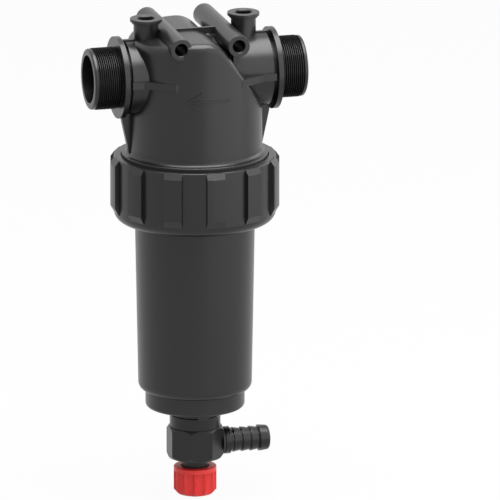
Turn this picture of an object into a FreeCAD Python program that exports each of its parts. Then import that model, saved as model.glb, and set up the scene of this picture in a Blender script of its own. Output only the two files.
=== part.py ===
import FreeCAD, Part
import math
import os

from FreeCAD import Vector

# A self cleaning line filter: a head with two ports and two mounting tubes, a ring nut that holds the
# bowl, a mesh cartridge with a flow cone inside, and a drain valve with a hose tail and a knob.
# Lengths are millimetres. Ports lie along X, the bowl hangs down along -Z, and -Y is the front.
# Heights are counted from the port axis. The finished part stands with the stem cap's foot at Z = 0.

# Clearances
seat_gap = 0.3            # between faces that meet on pieces that move apart
slip_gap = 0.4            # radial, between round pieces that slide into each other
running_gap = 0.07        # radial, between the valve stem and its guide
thread_gap = 0.05         # radial, between screwed pieces that stay together

# Ports
port_reach = 84.5         # port face to the bowl axis
port_bore_radius = 18.5
port_thread_root = 22.42  # G 1 1/2, crest radius 23.9
port_thread_length = 21.7
port_chamfer = 1.2
flange_radius = 31.65
flange_thickness = 3.9
groove_radius = 24.0
groove_width = 3.1
neck_radius = 28.5

# Head chamber
chamber_radius = 52.0
chamber_draft = 0.5       # how much the chamber narrows from foot to roof
chamber_wall = 4.0
roof_height = 34.0
roof_corner_x = 6.5       # where the roof's top and the steep slope would meet
roof_corner_radius = 20.0
roof_slope_deg = 53.8
roof_knee_x = -14.0       # where the roof starts to fall gently towards the outlet
roof_knee_radius = 60.0
roof_fall_deg = 8.5
roof_edge_radius = 6.0
shoulder_z = -62.0        # where the chamber widens into the skirt
shoulder_radius = 56.4
shoulder_height = 3.5
shoulder_cove = 3.0       # hollow between the chamber's wall and the shoulder
skirt_root = 55.0         # root of the skirt's outer thread
inlet_wall = 4.5          # wall of the inlet elbow inside the chamber
spigot_radius = 33.5      # outer radius of the elbow's spigot, which the cartridge slips over
spigot_bore = 28.0
spigot_reach = 66.0       # spigot end below the port axis
elbow_flare = 30.0        # height over which the elbow widens into the spigot

# Ribs, webs and gussets on the head
side_rib_height = 5.5
side_rib_y = 31.0
side_rib_knee_x = 48.0
side_rib_end_x = 57.0     # a little short of the flange
side_rib_root_x = 26.5
side_rib_root_y = 45.2
top_rib_thickness = 3.0
top_rib_rise = 1.0        # above the neck
gusset_thickness = 5.0
gusset_top_x = 58.5
gusset_top_z = -33.0
gusset_foot_x = 52.6
gusset_foot_z = -60.5

# Mounting tubes
tube_radius = 8.5
tube_bore_radius = 4.9
tube_spacing = 45.6
tube_z = 30.3
tube_front_y = -47.0
tube_length = 106.0
tube_end_round = 0.4
tube_bore_chamfer = 0.4
tube_web_thickness = 3.0
tube_web_top_z = 35.4
side_web_thickness = 2.0
side_web_y = 34.0
side_web_knee_z = 10.5      # below it the web slants out to the side rib
side_web_foot_x = 30.5

# Gauge bosses
gauge_x = 38.6
gauge_top_z = 45.4
gauge_radius = 9.6
gauge_flange_radius = 12.35
gauge_flange_height = 2.5
gauge_step_radius = 10.9
gauge_step_height = 1.4
gauge_edge_round = 0.3
gauge_thread_root = 6.58  # G 1/4
gauge_thread_depth = 13.0
gauge_mouth_chamfer = 0.6
gauge_pilot_radius = 2.5

# Ring nut
nut_top_gap = 2.5         # below the head's shoulder
nut_height = 51.5
nut_radius = 62.4
nut_thread_root = 57.0
nut_lip_radius = 47.5
nut_lip_thickness = 6.0
nut_foot_radius = 8.0     # rounding of the lower outer edge
nut_top_radius = 1.2
pad_count = 12
pad_width = 14.4
pad_rise = 3.3
pad_top_drop = 0.3
pad_length = 43.2
pad_top_ramp = 4.6
pad_foot_ramp = 5.8
pad_edge = 0.3            # chamfer along the pad's two sides

# Bowl
bowl_flange_radius = 55.9
bowl_flange_thickness = 7.0
bowl_wall = 4.0
bowl_top_radius = 46.3    # just under the flange
bowl_foot_radius = 43.7   # at the shoulder above the step
bowl_length = 148.0       # from the flange's top to the shoulder
bowl_shoulder_round = 6.0
bowl_step_radius = 38.3
bowl_step_height = 13.8
bowl_step_round = 3.0
bowl_spigot_height = 14.0
bowl_spigot_wall = 5.4
hub_radius = 20.3
hub_height = 5.2
hub_thread_radius = 13.0
hub_tab_x = 1.5           # locating tab at the front, which hangs over the drain collar's edge
hub_tab_width = 9.0
hub_tab_thickness = 0.6
hub_tab_drop = 2.0
bowl_seal_section = 1.7
bowl_seal_drop = 5.0      # from the top of the bowl's spigot

# Cartridge
cap_radius = 39.5
cap_grip = 16.0           # how far the cap covers the spigot
cap_floor = 7.5
gasket_thickness = 2.5
cage_radius = 36.5
cage_bar = 2.6
cage_rib_width = 3.2
cage_rib_count = 8
cage_ring_height = 2.4
cage_ring_count = 7
mesh_thickness = 0.4
bottom_flange_radius = 38.0
bottom_flange_height = 5.0
bottom_plug_height = 9.0
bottom_plug_wall = 4.6
bottom_seal_section = 1.4
cone_tip_radius = 3.0
cone_base_radius = 25.0
cone_wall = 2.0
cone_top_drop = 14.0      # cone tip below the cap
vane_count = 4
vane_thickness = 2.2
spider_height = 8.0
spider_ring = 2.0

# Drain body
washer_thickness = 1.0
washer_radius = 19.0
drain_bore_radius = 8.0
drain_plug_height = 9.0
collar_radius = 19.6
collar_height = 10.0
wrench_sides = 8
wrench_flats = 41.1
wrench_height = 24.5
wrench_chamfer = 2.6
drain_neck_radius = 10.4
drain_neck_length = 20.0
seat_radius = 6.6
seat_drop = 13.0          # valve seat below the collar's top
seat_height = 2.0
valve_room_radius = 9.6
guide_length = 22.0       # stem guide above the end of the drain neck

# Hose tail
tail_drop = 23.6          # hose tail axis below the collar's top
tail_washer_radius = 10.1
tail_washer_thickness = 1.75
tail_collar_radius = 10.6
tail_collar_length = 4.9
tail_plug_radius = 7.6
tail_plug_length = 8.5
tail_bore_radius = 6.0
barb_root = 8.5
barb_peak = 9.6
barb_last_peak = 10.15
barb_pitch = 6.9
barb_first = 2.8          # first peak from the collar
barb_count = 4
barb_land = 0.5           # flat on top of each barb
tail_nose = 7.5           # from the last peak to the end
tail_nose_radius = 9.4
tail_nose_round = 2.2

# Valve plunger and knob
stem_radius = 5.0
plunger_radius = 8.2
plunger_height = 4.0
plunger_washer_height = 2.5
stem_groove_radius = 2.6
stem_seal_section = 1.1
stem_seal_first = 4.0     # upper seal below the top of the stem guide
stem_seal_spacing = 6.0
knob_gap = 7.5            # from the wrench part to the knob
knob_radius = 16.1
knob_height = 19.0
knob_rim = 0.9            # smooth rim above the valleys
knob_floor = 5.5
knob_thread_root = 11.0
knob_foot_chamfer = 2.6
lobe_count = 12
lobe_radius = 4.6          # rounding of each lobe of the grip
stem_end_radius = 3.4
stem_cap_radius = 8.0
stem_cap_height = 4.4
stem_cap_chamfer = 0.8

# Heights that follow from the sizes above, from the port axis down
nut_top_z = shoulder_z - nut_top_gap
nut_foot_z = nut_top_z - nut_height
lip_top_z = nut_foot_z + nut_lip_thickness
flange_top_z = lip_top_z + bowl_flange_thickness
skirt_foot_z = flange_top_z + seat_gap
bowl_shoulder_z = flange_top_z - bowl_length
bowl_step_z = bowl_shoulder_z - bowl_step_height
hub_foot_z = bowl_step_z - hub_height
collar_top_z = hub_foot_z - washer_thickness
wrench_top_z = collar_top_z - collar_height
wrench_foot_z = wrench_top_z - wrench_height
drain_neck_foot_z = wrench_foot_z - drain_neck_length
knob_top_z = wrench_foot_z - knob_gap
knob_foot_z = knob_top_z - knob_height
foot_z = knob_foot_z - stem_cap_height
seat_z = collar_top_z - seat_drop
tail_z = collar_top_z - tail_drop
spigot_end_z = -spigot_reach
bowl_floor_z = bowl_shoulder_z + bowl_wall
chamber_bore = chamber_radius - chamber_wall
flange_x = port_reach - port_thread_length
groove_x = flange_x - flange_thickness
neck_end_x = groove_x - groove_width
cap_top_z = spigot_end_z + cap_grip
cap_ledge_z = spigot_end_z - seat_gap - gasket_thickness
cap_foot_z = cap_ledge_z - cap_floor
bottom_flange_z = bowl_floor_z + seat_gap
bottom_top_z = bottom_flange_z + bottom_flange_height
bowl_step_bore = bowl_step_radius - bowl_wall
plug_radius = bowl_step_bore - slip_gap
guide_radius = stem_radius + running_gap
guide_top_z = drain_neck_foot_z + guide_length

up = Vector(0, 0, 1)
along_x = Vector(1, 0, 0)
along_y = Vector(0, 1, 0)


def rounded(before, corner, after, radius):
    """Entry, middle and exit of the arc that rounds a corner between two neighbours."""
    to_before = (before - corner).normalize()
    to_after = (after - corner).normalize()
    half = to_before.getAngle(to_after) / 2
    reach = radius / math.tan(half)
    bisector = (to_before + to_after).normalize()
    middle = corner + bisector * (radius / math.sin(half) - radius)
    return corner + to_before * reach, middle, corner + to_after * reach


def outline(corners):
    """Closed face in the XZ plane. A corner is (x, z) or, where it is rounded, (x, z, radius)."""
    points = [Vector(c[0], 0, c[1]) for c in corners]
    radii = [c[2] if len(c) > 2 else 0 for c in corners]
    count = len(points)
    arcs = []
    for i in range(count):
        if radii[i] > 0:
            arcs.append(rounded(points[i - 1], points[i], points[(i + 1) % count], radii[i]))
        else:
            arcs.append((points[i], None, points[i]))
    edges = []
    for i in range(count):
        entry, middle, leave = arcs[i]
        if middle:
            edges.append(Part.Arc(entry, middle, leave).toShape())
        following = arcs[(i + 1) % count][0]
        if leave.distanceToPoint(following) > 1e-6:
            edges.append(Part.LineSegment(leave, following).toShape())
    return Part.Face(Part.Wire(edges))


def revolved(corners, angle=360.0):
    return outline(corners).revolve(Vector(0, 0, 0), up, angle)


def slab(corners, from_y, to_y):
    """The XZ outline, thickened along Y between two places."""
    face = outline(corners)
    face.translate(Vector(0, from_y, 0))
    return face.extrude(Vector(0, to_y - from_y, 0))


def disc(radius, z_low, z_high, x=0.0, y=0.0):
    return Part.makeCylinder(radius, z_high - z_low, Vector(x, y, z_low), up)


def ring(outer, inner, z_low, z_high):
    return disc(outer, z_low, z_high).cut(disc(inner, z_low - 1, z_high + 1))


def rod_x(radius, x_from, x_to, z=0.0):
    return Part.makeCylinder(radius, x_to - x_from, Vector(x_from, 0, z), along_x)


def rod_y(radius, y_from, y_to, x, z):
    return Part.makeCylinder(radius, y_to - y_from, Vector(x, y_from, z), along_y)


def block(x0, x1, y0, y1, z0, z1):
    return Part.makeBox(x1 - x0, y1 - y0, z1 - z0, Vector(x0, y0, z0))


def turned(shape, angle):
    copy = shape.copy()
    copy.rotate(Vector(0, 0, 0), up, angle)
    return copy


def around(shape, count):
    return [turned(shape, 360.0 * i / count) for i in range(count)]


def mirrored_x(shape):
    return shape.mirror(Vector(0, 0, 0), along_x)


def o_ring(radius, section, z):
    return Part.makeTorus(radius, section, Vector(0, 0, z), up)


def save(name, shape):
    """Writes one piece, moved up so that the part's lowest point is at Z = 0."""
    piece = shape.removeSplitter()
    piece.translate(Vector(0, 0, -foot_z))
    piece.exportStep(os.path.join("parts", name + ".step"))


# Head: the chamber under its half flat, half sloping roof


def roof_slab(depth):
    """Everything under the roof, with the roof lowered by depth, measured square to it."""
    steep = math.radians(roof_slope_deg)
    gentle = math.radians(roof_fall_deg)
    corner_x = roof_corner_x - depth * math.tan(steep / 2)
    knee_x = roof_knee_x + depth * math.tan(gentle / 2)
    top = roof_height - depth
    side = chamber_radius + 10
    inlet_side = top - (side - corner_x) * math.tan(steep)
    outlet_side = top - (side + knee_x) * math.tan(gentle)
    foot = skirt_foot_z - 10
    corners = [(-side, foot), (-side, outlet_side), (knee_x, top, roof_knee_radius - depth),
               (corner_x, top, roof_corner_radius - depth), (side, inlet_side), (side, foot)]
    return slab(corners, -side, side)


def roof_edges(shape):
    """The closed rim where the roof meets the chamber's wall."""
    rim = []
    for edge in shape.Edges:
        middle = edge.valueAt((edge.FirstParameter + edge.LastParameter) / 2)
        on_wall = math.hypot(middle.x, middle.y) > chamber_radius - chamber_draft - 0.1
        is_seam = edge.BoundBox.XLength < 1 and edge.BoundBox.YLength < 1
        if on_wall and middle.z > shoulder_z + 1 and not is_seam:
            rim.append(edge)
    return rim


def chamber_outside():
    height = roof_height - shoulder_z
    body = Part.makeCone(chamber_radius, chamber_radius - chamber_draft, height,
                         Vector(0, 0, shoulder_z), up)
    body = body.common(roof_slab(0))
    return body.makeFillet(roof_edge_radius, roof_edges(body))


def skirt():
    top = shoulder_z + 2 * shoulder_cove
    corners = [(0, top), (chamber_radius, top), (chamber_radius, shoulder_z, shoulder_cove),
               (shoulder_radius, shoulder_z, 0.8), (shoulder_radius, shoulder_z - shoulder_height),
               (skirt_root, shoulder_z - shoulder_height - 1.5),
               (skirt_root, skirt_foot_z + 1.5), (skirt_root - 1.5, skirt_foot_z), (0, skirt_foot_z)]
    return revolved(corners)


# Head: necks, flanges, ribs and gussets of one port


def port_outside():
    neck = rod_x(neck_radius, 0, neck_end_x)
    groove = rod_x(groove_radius, 0, groove_x + 1)
    flange = rod_x(flange_radius, groove_x, flange_x)
    thread = rod_x(port_thread_root, groove_x, port_reach - port_chamfer)
    nose = Part.makeCone(port_thread_root, port_thread_root - port_chamfer, port_chamfer,
                         Vector(port_reach - port_chamfer, 0, 0), along_x)
    return [neck, groove, flange, thread, nose]


def side_ribs():
    half = side_rib_height / 2
    knee = [(0, side_rib_root_y), (side_rib_root_x, side_rib_root_y),
            (side_rib_knee_x, side_rib_y), (side_rib_end_x, side_rib_y),
            (side_rib_end_x, -side_rib_y), (side_rib_knee_x, -side_rib_y),
            (side_rib_root_x, -side_rib_root_y), (0, -side_rib_root_y)]
    wire = Part.makePolygon([Vector(x, y, -half) for x, y in knee + knee[:1]])
    return Part.Face(wire).extrude(Vector(0, 0, side_rib_height))


def top_rib():
    half = top_rib_thickness / 2
    return block(gauge_x, groove_x, -half, half, 0, neck_radius + top_rib_rise)


def gusset():
    corners = [(chamber_bore, 0), (gusset_top_x, 0), (gusset_top_x, gusset_top_z, 3.0),
               (gusset_foot_x, gusset_foot_z), (gusset_foot_x, shoulder_z), (chamber_bore, shoulder_z)]
    return slab(corners, -gusset_thickness / 2, gusset_thickness / 2)


def gauge_boss():
    flange_z = gauge_top_z - gauge_flange_height
    barrel = disc(gauge_radius, 0, flange_z, gauge_x)
    step = disc(gauge_step_radius, flange_z - gauge_step_height, flange_z, gauge_x)
    flange = disc(gauge_flange_radius, flange_z, gauge_top_z, gauge_x)
    rims = [e for e in flange.Edges if e.BoundBox.ZLength < 0.01]
    return [barrel, step, flange.makeFillet(gauge_edge_round, rims)]


def port_side():
    """All that one side of the head carries outside, on +X."""
    pieces = port_outside() + [side_ribs(), top_rib(), gusset()] + gauge_boss()
    return pieces[0].multiFuse(pieces[1:])


# Head: mounting tubes and their webs


def tube_xs():
    return (-tube_spacing / 2, tube_spacing / 2)


def mounting_tubes():
    back = tube_front_y + tube_length
    pieces = []
    for x in tube_xs():
        tube = rod_y(tube_radius, tube_front_y, back, x, tube_z)
        rims = [e for e in tube.Edges if e.BoundBox.YLength < 0.01]
        pieces.append(tube.makeFillet(tube_end_round, rims))
    half = tube_web_thickness / 2
    pieces.append(block(tube_xs()[0], tube_xs()[1], -half, half, roof_height - chamber_wall,
                        tube_web_top_z))
    pieces.append(side_web())
    return pieces


def side_web():
    """The folded plate under the right tube, which slants out from the roof to the side ribs."""
    inner = tube_xs()[1] - side_web_thickness / 2
    outer = inner + side_web_thickness
    rib_top = side_rib_height / 2
    corners = [(inner, tube_z), (outer, tube_z), (outer, side_web_knee_z),
               (side_web_foot_x + side_web_thickness, rib_top), (side_web_foot_x - side_web_thickness, 0),
               (inner, side_web_knee_z - 2 * side_web_thickness)]
    return slab(corners, -side_web_y, side_web_y)


def tube_bores():
    back = tube_front_y + tube_length
    pieces = []
    for x in tube_xs():
        pieces.append(rod_y(tube_bore_radius, tube_front_y - 1, back + 1, x, tube_z))
        wide = tube_bore_radius + tube_bore_chamfer
        pieces.append(Part.makeCone(wide, tube_bore_radius, tube_bore_chamfer,
                                    Vector(x, tube_front_y, tube_z), along_y))
        pieces.append(Part.makeCone(wide, tube_bore_radius, tube_bore_chamfer,
                                    Vector(x, back, tube_z), -along_y))
    return pieces


# Head: the way of the water inside


def chamber_inside():
    """The chamber's room, which stays clear of the walls of the mounting tubes."""
    room = disc(chamber_bore, skirt_foot_z - 1, roof_height).common(roof_slab(chamber_wall))
    back = tube_front_y + tube_length
    return room.cut([rod_y(tube_radius, tube_front_y, back, x, tube_z) for x in tube_xs()])


def elbow(grow):
    """The inlet elbow: a level duct from +X that turns down and widens into the spigot."""
    duct = port_bore_radius + grow
    spigot = spigot_bore if grow == 0 else spigot_radius
    level = rod_x(duct, 0, chamber_radius)
    bend = Part.makeSphere(duct)
    flare = Part.makeCone(spigot, duct, elbow_flare, Vector(0, 0, -elbow_flare), up)
    down = disc(spigot, spigot_end_z, -elbow_flare)
    return level.multiFuse([bend, flare, down])


def gauge_bore():
    floor = gauge_top_z - gauge_thread_depth
    thread = disc(gauge_thread_root, floor, gauge_top_z + 1, gauge_x)
    mouth = Part.makeCone(gauge_thread_root, gauge_thread_root + gauge_mouth_chamfer,
                          gauge_mouth_chamfer,
                          Vector(gauge_x, 0, gauge_top_z - gauge_mouth_chamfer), up)
    pilot = disc(gauge_pilot_radius, 0, floor + 1, gauge_x)
    return [thread, mouth, pilot]


def make_head():
    right = port_side()
    outside = chamber_outside().multiFuse([skirt(), right, mirrored_x(right)] + mounting_tubes())
    head = outside.cut(chamber_inside())
    inner_duct = elbow(inlet_wall).common(chamber_inside())
    head = head.fuse(inner_duct)
    inlet = rod_x(port_bore_radius, chamber_radius - 1, port_reach + 1)
    outlet = rod_x(port_bore_radius, -port_reach - 1, -neck_radius)
    bores = gauge_bore()
    bores += [mirrored_x(bore) for bore in bores]
    spigot_mouth = disc(spigot_bore, spigot_end_z - 1, spigot_end_z + 1)
    return head.cut(elbow(0).multiFuse([inlet, outlet, spigot_mouth] + bores + tube_bores()))


# Ring nut


def pad():
    """One grip pad, centred on -Y, ramped at both ends and chamfered along its sides."""
    outer = nut_radius + pad_rise
    inner = nut_thread_root + 2
    top = nut_top_z - pad_top_drop
    foot = top - pad_length
    half = pad_width / 2
    side = Part.makePolygon([Vector(0, -inner, top), Vector(0, -nut_radius, top),
                             Vector(0, -outer, top - pad_top_ramp),
                             Vector(0, -outer, foot + pad_foot_ramp),
                             Vector(0, -nut_radius, foot), Vector(0, -inner, foot),
                             Vector(0, -inner, top)])
    body = Part.Face(side).extrude(Vector(pad_width, 0, 0))
    body.translate(Vector(-half, 0, 0))
    shell = disc(outer, foot - 1, top + 1)
    body = body.common(shell)
    plan = [(-half, -inner), (-half, -outer + pad_edge), (-half + pad_edge, -outer),
            (half - pad_edge, -outer), (half, -outer + pad_edge), (half, -inner)]
    wire = Part.makePolygon([Vector(x, y, foot - 1) for x, y in plan + plan[:1]])
    return body.common(Part.Face(wire).extrude(Vector(0, 0, pad_length + 2)))


def make_ring_nut():
    corners = [(nut_thread_root, nut_top_z), (nut_radius, nut_top_z, nut_top_radius),
               (nut_radius, nut_foot_z, nut_foot_radius), (nut_lip_radius, nut_foot_z, 1.0),
               (nut_lip_radius, lip_top_z), (nut_thread_root, lip_top_z)]
    return revolved(corners).multiFuse(around(pad(), pad_count))


# Bowl and its seal


def bowl_spigot_radius():
    return chamber_bore - slip_gap


def bowl_seal_z():
    return flange_top_z + bowl_spigot_height - bowl_seal_drop


def make_bowl():
    spigot = bowl_spigot_radius()
    spigot_top = flange_top_z + bowl_spigot_height
    bore = spigot - bowl_spigot_wall
    lip_floor = flange_top_z - bowl_flange_thickness
    step_floor = bowl_step_z + bowl_wall
    corners = [(bore, spigot_top, 1.0), (spigot, spigot_top, 1.0), (spigot, flange_top_z),
               (bowl_flange_radius, flange_top_z, 0.8), (bowl_flange_radius, lip_floor, 0.8),
               (bowl_top_radius, lip_floor), (bowl_foot_radius, bowl_shoulder_z, bowl_shoulder_round),
               (bowl_step_radius, bowl_shoulder_z), (bowl_step_radius, bowl_step_z, bowl_step_round),
               (hub_radius, bowl_step_z), (hub_radius, hub_foot_z), (hub_thread_radius, hub_foot_z),
               (hub_thread_radius, step_floor), (bowl_step_bore, step_floor, 1.0),
               (bowl_step_bore, bowl_floor_z), (bowl_foot_radius - bowl_wall, bowl_floor_z, 1.5)]
    groove_floor = spigot - 2 * bowl_seal_section
    z = bowl_seal_z()
    groove = ring(spigot + 1, groove_floor - 0.1, z - 1.3 * bowl_seal_section,
                  z + 1.3 * bowl_seal_section)
    tab = ring(hub_radius, hub_radius - hub_tab_thickness, hub_foot_z - hub_tab_drop, hub_foot_z + 1)
    tab = tab.common(block(hub_tab_x - hub_tab_width / 2, hub_tab_x + hub_tab_width / 2,
                           -hub_radius - 1, 0, hub_foot_z - 5, hub_foot_z + 5))
    return revolved(corners).cut(groove).fuse(tab)


def make_bowl_seal():
    return o_ring(bowl_spigot_radius() - bowl_seal_section + 0.05, bowl_seal_section, bowl_seal_z())


# Cartridge


def make_cartridge_top_cap():
    socket = spigot_radius + slip_gap
    corners = [(socket, cap_top_z, 0.8), (cap_radius, cap_top_z, 0.8), (cap_radius, cap_foot_z + 4),
               (cage_radius, cap_foot_z), (spigot_bore, cap_foot_z), (spigot_bore, cap_ledge_z),
               (socket, cap_ledge_z)]
    return revolved(corners)


def make_cartridge_top_gasket():
    return ring(spigot_radius, spigot_bore + 0.5, cap_ledge_z, cap_ledge_z + gasket_thickness)


def cage_height():
    return cap_foot_z - bottom_top_z


def make_cartridge_cage():
    inner = cage_radius - cage_bar
    step = (cage_height() - cage_ring_height) / (cage_ring_count - 1)
    rings = []
    for i in range(cage_ring_count):
        low = bottom_top_z + i * step
        rings.append(ring(cage_radius, inner, low, low + cage_ring_height))
    half = cage_rib_width / 2
    rib = block(inner + 0.3, cage_radius - 0.3, -half, half, bottom_top_z, cap_foot_z)
    return rings[0].multiFuse(rings[1:] + around(rib, cage_rib_count))


def mesh_radius():
    return cage_radius - cage_bar


def make_cartridge_mesh():
    return ring(mesh_radius(), mesh_radius() - mesh_thickness, bottom_top_z, cap_foot_z)


def bottom_seal_z():
    return bottom_flange_z - bottom_plug_height / 2


def make_cartridge_bottom_cap():
    bore = plug_radius - bottom_plug_wall
    foot = bottom_flange_z - bottom_plug_height
    corners = [(bore, bottom_top_z), (bottom_flange_radius, bottom_top_z, 0.8),
               (bottom_flange_radius, bottom_flange_z), (plug_radius, bottom_flange_z),
               (plug_radius, foot, 1.0), (bore, foot)]
    z = bottom_seal_z()
    groove = ring(plug_radius + 1, plug_radius - 2 * bottom_seal_section - 0.1,
                  z - 1.3 * bottom_seal_section, z + 1.3 * bottom_seal_section)
    return revolved(corners).cut(groove)


def make_cartridge_bottom_seal():
    return o_ring(plug_radius - bottom_seal_section + 0.05, bottom_seal_section, bottom_seal_z())


def cone_foot_z():
    return bottom_flange_z


def make_flow_cone():
    tip_z = cap_foot_z - cone_top_drop
    foot = cone_foot_z()
    inner = cone_base_radius - cone_wall
    slant = cone_wall * 1.5
    corners = [(0, tip_z), (cone_tip_radius, tip_z, cone_tip_radius / 2),
               (cone_base_radius, foot + spider_height), (cone_base_radius, foot), (inner, foot),
               (inner, foot + spider_height - slant),
               (0, tip_z - 4 * slant)]
    return revolved(corners)


def make_cone_spider():
    outer = plug_radius - bottom_plug_wall
    low = cone_foot_z()
    high = low + spider_height
    vane = block(cone_base_radius, outer - spider_ring / 2, -vane_thickness / 2, vane_thickness / 2,
                 low, high)
    hoop = ring(outer, outer - spider_ring, low, high)
    sleeve = disc(cone_base_radius, low - 1, high + 1)
    return hoop.multiFuse(around(vane, vane_count)).cut(sleeve)


# Drain body and hose tail


def wrench_part():
    """The eight-sided part, with its corners turned off at both ends as on a bolt head."""
    corner = wrench_flats / 2 / math.cos(math.pi / wrench_sides)
    start = math.pi / wrench_sides
    points = []
    for i in range(wrench_sides + 1):
        angle = start + 2 * math.pi * i / wrench_sides
        points.append(Vector(corner * math.cos(angle), corner * math.sin(angle), wrench_foot_z))
    prism = Part.Face(Part.makePolygon(points)).extrude(Vector(0, 0, wrench_height))
    flat = wrench_flats / 2
    turned_off = [(0, wrench_top_z), (flat, wrench_top_z), (corner, wrench_top_z - wrench_chamfer),
                  (corner, wrench_foot_z + wrench_chamfer), (flat, wrench_foot_z),
                  (0, wrench_foot_z)]
    return prism.common(revolved(turned_off))


def make_drain_body():
    collar = disc(collar_radius, wrench_top_z, collar_top_z)
    collar = collar.makeFillet(1.0, [e for e in collar.Edges if e.BoundBox.ZLength < 0.01
                                     and e.BoundBox.ZMax > collar_top_z - 0.1])
    plug = disc(hub_thread_radius - thread_gap, collar_top_z - 1, collar_top_z + drain_plug_height)
    neck = disc(drain_neck_radius, drain_neck_foot_z, wrench_foot_z + 1)
    body = collar.multiFuse([plug, wrench_part(), neck])
    way_down = disc(drain_bore_radius, seat_z, collar_top_z + drain_plug_height + 1)
    seat = disc(seat_radius, seat_z - seat_height - 1, seat_z + 1)
    room = disc(valve_room_radius, guide_top_z, seat_z - seat_height)
    guide = disc(guide_radius, drain_neck_foot_z - 1, guide_top_z + 1)
    side_bore = rod_x(tail_plug_radius + thread_gap, 0, wrench_flats / 2 + 1, tail_z)
    side_way = side_bore.common(block(seat_radius, 30, -20, 20, wrench_foot_z, wrench_top_z))
    return body.cut(way_down.multiFuse([seat, room, guide, side_way]))


def make_drain_washer():
    return ring(washer_radius, hub_thread_radius, collar_top_z, hub_foot_z)


def tail_x():
    """Where the hose tail's collar starts."""
    return wrench_flats / 2 + tail_washer_thickness


def make_hose_tail():
    start = tail_x()
    x = start + tail_collar_length
    profile = [(tail_bore_radius, start - tail_washer_thickness - tail_plug_length),
               (tail_plug_radius, start - tail_washer_thickness - tail_plug_length),
               (tail_plug_radius, start), (tail_collar_radius, start, 0.6),
               (tail_collar_radius, x, 0.6), (barb_root, x)]
    for i in range(barb_count):
        peak = barb_last_peak if i == barb_count - 1 else barb_peak
        crest_x = x + barb_first + i * barb_pitch
        profile += [(barb_root, crest_x - barb_land), (peak, crest_x - barb_land), (peak, crest_x)]
        if i < barb_count - 1:
            profile.append((barb_root, crest_x + barb_pitch - 2 * barb_land))
    end = x + barb_first + (barb_count - 1) * barb_pitch + tail_nose
    profile += [(tail_nose_radius, end, tail_nose_round), (tail_bore_radius, end)]
    tail = revolved(profile)
    tail.rotate(Vector(0, 0, 0), along_y, 90)
    tail.translate(Vector(0, 0, tail_z))
    return tail


def make_hose_tail_washer():
    washer = ring(tail_washer_radius, tail_plug_radius, 0, tail_washer_thickness)
    washer.rotate(Vector(0, 0, 0), along_y, 90)
    washer.translate(Vector(wrench_flats / 2, 0, tail_z))
    return washer


# Valve plunger, its seals and the knob


def plunger_top_z():
    return seat_z - seat_height - seat_gap - plunger_washer_height


def stem_seal_zs():
    first = guide_top_z - stem_seal_first
    return (first, first - stem_seal_spacing)


def make_valve_plunger():
    top = plunger_top_z()
    pin_top = top + plunger_washer_height / 2
    shoulder = knob_foot_z + knob_floor
    corners = [(0, pin_top), (stem_radius / 2, pin_top), (stem_radius / 2, top),
               (plunger_radius, top, 0.5), (plunger_radius, top - plunger_height),
               (stem_radius, top - plunger_height - 2), (stem_radius, shoulder),
               (stem_end_radius, shoulder), (stem_end_radius, knob_foot_z - stem_cap_height / 2),
               (0, knob_foot_z - stem_cap_height / 2)]
    plunger = revolved(corners)
    for z in stem_seal_zs():
        plunger = plunger.cut(ring(stem_radius + 1, stem_groove_radius, z - 1.3 * stem_seal_section,
                                   z + 1.3 * stem_seal_section))
    return plunger


def make_plunger_washer():
    top = plunger_top_z()
    washer = disc(plunger_radius - 0.4, top, top + plunger_washer_height)
    return washer.cut(disc(stem_radius / 2, top - 1, top + plunger_washer_height / 2))


def make_stem_seal(index):
    radius = stem_radius - stem_seal_section - 0.1
    return o_ring(radius, stem_seal_section, stem_seal_zs()[index])


def make_drain_knob():
    room_floor = knob_foot_z + knob_floor
    corners = [(knob_thread_root, knob_top_z), (knob_radius, knob_top_z, 0.8),
               (knob_radius, knob_foot_z + knob_foot_chamfer, 1.0),
               (knob_radius - knob_foot_chamfer, knob_foot_z),
               (stem_end_radius + running_gap, knob_foot_z),
               (stem_end_radius + running_gap, room_floor), (knob_thread_root, room_floor)]
    lobe = disc(lobe_radius, knob_foot_z, knob_top_z, knob_radius - lobe_radius)
    core = disc(knob_radius - lobe_radius, knob_foot_z, knob_top_z)
    rim = disc(knob_radius, knob_top_z - knob_rim, knob_top_z)
    return revolved(corners).common(core.multiFuse(around(lobe, lobe_count) + [rim]))


def make_stem_cap():
    corners = [(0, foot_z), (stem_cap_radius, foot_z, stem_cap_chamfer),
               (stem_cap_radius, knob_foot_z), (stem_end_radius, knob_foot_z),
               (stem_end_radius, knob_foot_z - stem_cap_height / 2),
               (0, knob_foot_z - stem_cap_height / 2)]
    return revolved(corners)


def main():
    os.makedirs("parts", exist_ok=True)
    save("head", make_head())
    save("ring_nut", make_ring_nut())
    save("bowl", make_bowl())
    save("bowl_seal", make_bowl_seal())
    save("cartridge_top_cap", make_cartridge_top_cap())
    save("cartridge_top_gasket", make_cartridge_top_gasket())
    save("cartridge_cage", make_cartridge_cage())
    save("cartridge_mesh", make_cartridge_mesh())
    save("cartridge_bottom_cap", make_cartridge_bottom_cap())
    save("cartridge_bottom_seal", make_cartridge_bottom_seal())
    save("flow_cone", make_flow_cone())
    save("cone_spider", make_cone_spider())
    save("drain_body", make_drain_body())
    save("drain_washer", make_drain_washer())
    save("hose_tail", make_hose_tail())
    save("hose_tail_washer", make_hose_tail_washer())
    save("valve_plunger", make_valve_plunger())
    save("plunger_washer", make_plunger_washer())
    save("stem_seal_upper", make_stem_seal(0))
    save("stem_seal_lower", make_stem_seal(1))
    save("drain_knob", make_drain_knob())
    save("stem_cap", make_stem_cap())


main()
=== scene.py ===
"""The looks of a self cleaning line filter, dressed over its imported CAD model.

Lengths are metres in the part's own frame: the origin is under the stem cap on the bowl's axis, +Z is up,
the inlet points along +X and the outlet along -X. The front of the filter faces -Y.
"""

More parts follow.
